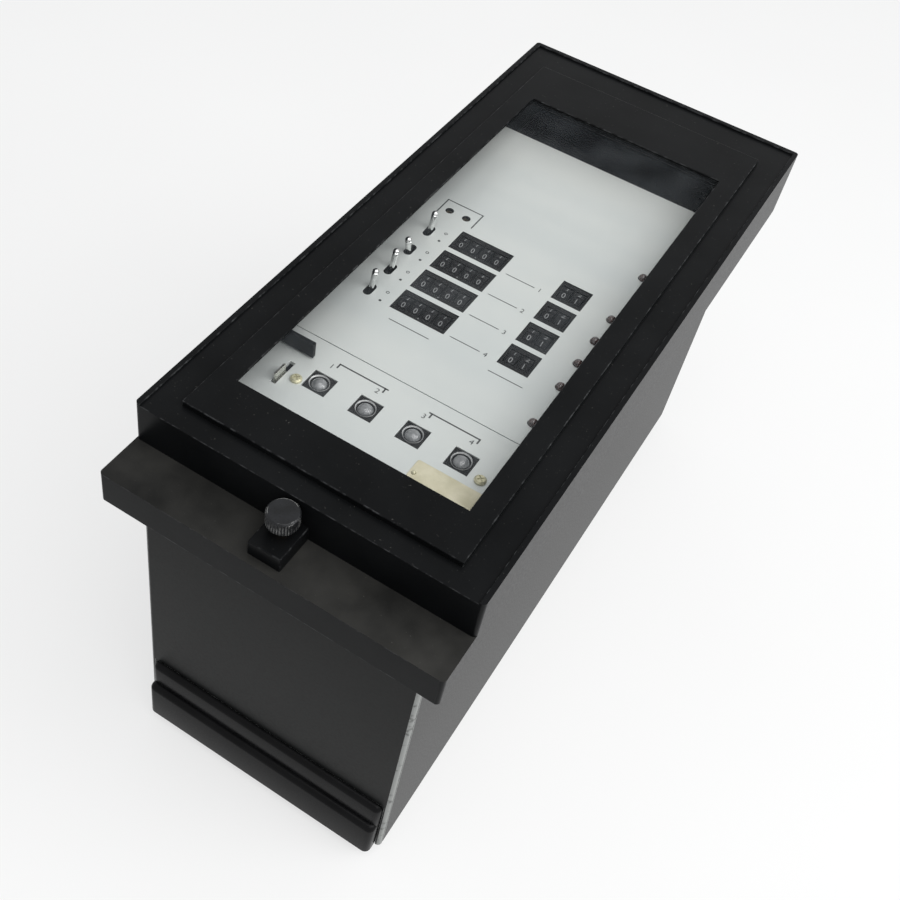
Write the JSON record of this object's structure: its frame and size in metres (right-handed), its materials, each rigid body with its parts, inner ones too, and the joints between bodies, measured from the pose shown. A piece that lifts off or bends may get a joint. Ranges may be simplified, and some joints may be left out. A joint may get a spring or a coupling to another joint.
{
  "type": "protection relay",
  "caption": "Solid-state protection relay in a drawout panel case: steel case, black windowed cover with thumbscrew, thumbwheels, toggle switches, flip targets and a reset tab.",
  "frame": {"origin": "centre of the bounding box's bottom, under the rear terminal screws", "axes": "+X across the width to the right, +Y towards the top end when mounted, +Z out of the face"},
  "size_m": [0.1684, 0.395, 0.2293],
  "materials": {
    "case_paint": "dark grey enamel, satin, with scuffed corners",
    "block_black": "black moulded phenolic",
    "screw_steel": "zinc plated",
    "cover_black": "black moulded, fine satin",
    "pane_clear": "clear polished",
    "thumbscrew_metal": "worn nickel over brass, knurled",
    "panel_silver": "fine satin silver",
    "housing_black": "black moulded",
    "wheel_black": "black with white digits",
    "lever_chrome": "bright plated",
    "lamp_red": "clear red",
    "trimmer_blue": "moulded",
    "trim_brass": "turned",
    "target_dark": "smooth dark grey",
    "tab_steel": "bright bent sheet",
    "chassis_metal": "plain sheet",
    "board_green": "solder mask",
    "core_iron": "varnished laminations",
    "relay_case": "moulded"
  },
  "bodies": {
    "case": {"case_shell": "case_paint", "terminal_blocks": "block_black", "terminal_screws": "screw_steel", "upper_panel": "panel_silver", "lower_panel": "panel_silver", "panel_screws": "screw_steel", "wheel_housings": "housing_black", "toggle_bodies": "housing_black", "leds": "lamp_red", "trimmer_bodies": "trimmer_blue", "target_housings": "housing_black", "chassis": "chassis_metal", "front_board": "board_green", "logic_board": "board_green", "power_board": "board_green", "transformer": "core_iron", "output_relays": "relay_case", "contact_blocks": "block_black", "connection_plugs": "block_black"},
    "cover": {"cover": "cover_black", "window_pane": "pane_clear", "reset_arm": "cover_black"},
    "thumbscrew": {"thumbscrew": "thumbscrew_metal", "thumbscrew_clip": "screw_steel"},
    "freq_wheel_1_1": {"freq_wheel_1_1": "wheel_black"},
    "freq_wheel_1_2": {"freq_wheel_1_2": "wheel_black"},
    "freq_wheel_1_3": {"freq_wheel_1_3": "wheel_black"},
    "freq_wheel_1_4": {"freq_wheel_1_4": "wheel_black"},
    "freq_wheel_2_1": {"freq_wheel_2_1": "wheel_black"},
    "freq_wheel_2_2": {"freq_wheel_2_2": "wheel_black"},
    "freq_wheel_2_3": {"freq_wheel_2_3": "wheel_black"},
    "freq_wheel_2_4": {"freq_wheel_2_4": "wheel_black"},
    "freq_wheel_3_1": {"freq_wheel_3_1": "wheel_black"},
    "freq_wheel_3_2": {"freq_wheel_3_2": "wheel_black"},
    "freq_wheel_3_3": {"freq_wheel_3_3": "wheel_black"},
    "freq_wheel_3_4": {"freq_wheel_3_4": "wheel_black"},
    "freq_wheel_4_1": {"freq_wheel_4_1": "wheel_black"},
    "freq_wheel_4_2": {"freq_wheel_4_2": "wheel_black"},
    "freq_wheel_4_3": {"freq_wheel_4_3": "wheel_black"},
    "freq_wheel_4_4": {"freq_wheel_4_4": "wheel_black"},
    "delay_wheel_1_1": {"delay_wheel_1_1": "wheel_black"},
    "delay_wheel_1_2": {"delay_wheel_1_2": "wheel_black"},
    "delay_wheel_2_1": {"delay_wheel_2_1": "wheel_black"},
    "delay_wheel_2_2": {"delay_wheel_2_2": "wheel_black"},
    "delay_wheel_3_1": {"delay_wheel_3_1": "wheel_black"},
    "delay_wheel_3_2": {"delay_wheel_3_2": "wheel_black"},
    "delay_wheel_4_1": {"delay_wheel_4_1": "wheel_black"},
    "delay_wheel_4_2": {"delay_wheel_4_2": "wheel_black"},
    "toggle_1": {"toggle_1": "lever_chrome"},
    "toggle_2": {"toggle_2": "lever_chrome"},
    "toggle_3": {"toggle_3": "lever_chrome"},
    "toggle_4": {"toggle_4": "lever_chrome"},
    "trim_screw_1": {"trim_screw_1": "trim_brass"},
    "trim_screw_2": {"trim_screw_2": "trim_brass"},
    "target_1": {"target_1": "target_dark"},
    "target_2": {"target_2": "target_dark"},
    "target_3": {"target_3": "target_dark"},
    "target_4": {"target_4": "target_dark"},
    "reset_tab": {"reset_tab": "tab_steel"}
  },
  "joints": [
    {"name": "cover_lift", "type": "slide", "parent": "case", "child": "cover", "axis": [0, 0, 1], "range_m": [0, 0.06]},
    {"name": "thumbscrew_turn", "type": "hinge", "parent": "cover", "child": "thumbscrew", "pos_m": [-0.003, -0.1813, 0.2083], "axis": [0, 0, 1], "continuous": true},
    {"name": "freq_wheel_1_1_turn", "type": "hinge", "parent": "case", "child": "freq_wheel_1_1", "pos_m": [-0.0357, 0.0265, 0.2011], "axis": [1, 0, 0], "continuous": true},
    {"name": "freq_wheel_1_2_turn", "type": "hinge", "parent": "case", "child": "freq_wheel_1_2", "pos_m": [-0.0287, 0.0265, 0.2011], "axis": [1, 0, 0], "continuous": true},
    {"name": "freq_wheel_1_3_turn", "type": "hinge", "parent": "case", "child": "freq_wheel_1_3", "pos_m": [-0.0217, 0.0265, 0.2011], "axis": [1, 0, 0], "continuous": true},
    {"name": "freq_wheel_1_4_turn", "type": "hinge", "parent": "case", "child": "freq_wheel_1_4", "pos_m": [-0.0147, 0.0265, 0.2011], "axis": [1, 0, 0], "continuous": true},
    {"name": "freq_wheel_2_1_turn", "type": "hinge", "parent": "case", "child": "freq_wheel_2_1", "pos_m": [-0.0357, 0.0074, 0.2011], "axis": [1, 0, 0], "continuous": true},
    {"name": "freq_wheel_2_2_turn", "type": "hinge", "parent": "case", "child": "freq_wheel_2_2", "pos_m": [-0.0287, 0.0074, 0.2011], "axis": [1, 0, 0], "continuous": true},
    {"name": "freq_wheel_2_3_turn", "type": "hinge", "parent": "case", "child": "freq_wheel_2_3", "pos_m": [-0.0217, 0.0074, 0.2011], "axis": [1, 0, 0], "continuous": true},
    {"name": "freq_wheel_2_4_turn", "type": "hinge", "parent": "case", "child": "freq_wheel_2_4", "pos_m": [-0.0147, 0.0074, 0.2011], "axis": [1, 0, 0], "continuous": true},
    {"name": "freq_wheel_3_1_turn", "type": "hinge", "parent": "case", "child": "freq_wheel_3_1", "pos_m": [-0.0357, -0.0117, 0.2011], "axis": [1, 0, 0], "continuous": true},
    {"name": "freq_wheel_3_2_turn", "type": "hinge", "parent": "case", "child": "freq_wheel_3_2", "pos_m": [-0.0287, -0.0117, 0.2011], "axis": [1, 0, 0], "continuous": true},
    {"name": "freq_wheel_3_3_turn", "type": "hinge", "parent": "case", "child": "freq_wheel_3_3", "pos_m": [-0.0217, -0.0117, 0.2011], "axis": [1, 0, 0], "continuous": true},
    {"name": "freq_wheel_3_4_turn", "type": "hinge", "parent": "case", "child": "freq_wheel_3_4", "pos_m": [-0.0147, -0.0117, 0.2011], "axis": [1, 0, 0], "continuous": true},
    {"name": "freq_wheel_4_1_turn", "type": "hinge", "parent": "case", "child": "freq_wheel_4_1", "pos_m": [-0.0357, -0.0308, 0.2011], "axis": [1, 0, 0], "continuous": true},
    {"name": "freq_wheel_4_2_turn", "type": "hinge", "parent": "case", "child": "freq_wheel_4_2", "pos_m": [-0.0287, -0.0308, 0.2011], "axis": [1, 0, 0], "continuous": true},
    {"name": "freq_wheel_4_3_turn", "type": "hinge", "parent": "case", "child": "freq_wheel_4_3", "pos_m": [-0.0217, -0.0308, 0.2011], "axis": [1, 0, 0], "continuous": true},
    {"name": "freq_wheel_4_4_turn", "type": "hinge", "parent": "case", "child": "freq_wheel_4_4", "pos_m": [-0.0147, -0.0308, 0.2011], "axis": [1, 0, 0], "continuous": true},
    {"name": "delay_wheel_1_1_turn", "type": "hinge", "parent": "case", "child": "delay_wheel_1_1", "pos_m": [0.0242, 0.0265, 0.2011], "axis": [1, 0, 0], "continuous": true},
    {"name": "delay_wheel_1_2_turn", "type": "hinge", "parent": "case", "child": "delay_wheel_1_2", "pos_m": [0.0312, 0.0265, 0.2011], "axis": [1, 0, 0], "continuous": true},
    {"name": "delay_wheel_2_1_turn", "type": "hinge", "parent": "case", "child": "delay_wheel_2_1", "pos_m": [0.0242, 0.0074, 0.2011], "axis": [1, 0, 0], "continuous": true},
    {"name": "delay_wheel_2_2_turn", "type": "hinge", "parent": "case", "child": "delay_wheel_2_2", "pos_m": [0.0312, 0.0074, 0.2011], "axis": [1, 0, 0], "continuous": true},
    {"name": "delay_wheel_3_1_turn", "type": "hinge", "parent": "case", "child": "delay_wheel_3_1", "pos_m": [0.0242, -0.0117, 0.2011], "axis": [1, 0, 0], "continuous": true},
    {"name": "delay_wheel_3_2_turn", "type": "hinge", "parent": "case", "child": "delay_wheel_3_2", "pos_m": [0.0312, -0.0117, 0.2011], "axis": [1, 0, 0], "continuous": true},
    {"name": "delay_wheel_4_1_turn", "type": "hinge", "parent": "case", "child": "delay_wheel_4_1", "pos_m": [0.0242, -0.0308, 0.2011], "axis": [1, 0, 0], "continuous": true},
    {"name": "delay_wheel_4_2_turn", "type": "hinge", "parent": "case", "child": "delay_wheel_4_2", "pos_m": [0.0312, -0.0308, 0.2011], "axis": [1, 0, 0], "continuous": true},
    {"name": "toggle_1_tilt", "type": "hinge", "parent": "case", "child": "toggle_1", "pos_m": [-0.0546, 0.023, 0.2023], "axis": [1, 0, 0], "range_deg": [0, 28]},
    {"name": "toggle_2_tilt", "type": "hinge", "parent": "case", "child": "toggle_2", "pos_m": [-0.0546, 0.0039, 0.2023], "axis": [1, 0, 0], "range_deg": [-28, 0]},
    {"name": "toggle_3_tilt", "type": "hinge", "parent": "case", "child": "toggle_3", "pos_m": [-0.0546, -0.0152, 0.2023], "axis": [1, 0, 0], "range_deg": [0, 28]},
    {"name": "toggle_4_tilt", "type": "hinge", "parent": "case", "child": "toggle_4", "pos_m": [-0.0546, -0.0343, 0.2023], "axis": [1, 0, 0], "range_deg": [0, 28]},
    {"name": "trim_screw_1_turn", "type": "hinge", "parent": "case", "child": "trim_screw_1", "pos_m": [-0.0545, 0.0445, 0.2068], "axis": [0, 0, 1], "range_deg": [-135, 135]},
    {"name": "trim_screw_2_turn", "type": "hinge", "parent": "case", "child": "trim_screw_2", "pos_m": [-0.0443, 0.0445, 0.2068], "axis": [0, 0, 1], "range_deg": [-135, 135]},
    {"name": "target_1_flip", "type": "hinge", "parent": "case", "child": "target_1", "pos_m": [-0.03855, -0.1017, 0.2057], "axis": [1, 0, 0], "range_deg": [0, 180]},
    {"name": "target_2_flip", "type": "hinge", "parent": "case", "child": "target_2", "pos_m": [-0.01365, -0.1017, 0.2057], "axis": [1, 0, 0], "range_deg": [0, 180]},
    {"name": "target_3_flip", "type": "hinge", "parent": "case", "child": "target_3", "pos_m": [0.01125, -0.1017, 0.2057], "axis": [1, 0, 0], "range_deg": [0, 180]},
    {"name": "target_4_flip", "type": "hinge", "parent": "case", "child": "target_4", "pos_m": [0.03615, -0.1017, 0.2057], "axis": [1, 0, 0], "range_deg": [0, 180]},
    {"name": "reset_tab_slide", "type": "slide", "parent": "case", "child": "reset_tab", "axis": [0, 1, 0], "range_m": [0, 0.006], "stiffness_N_per_m": 40}
  ]
}
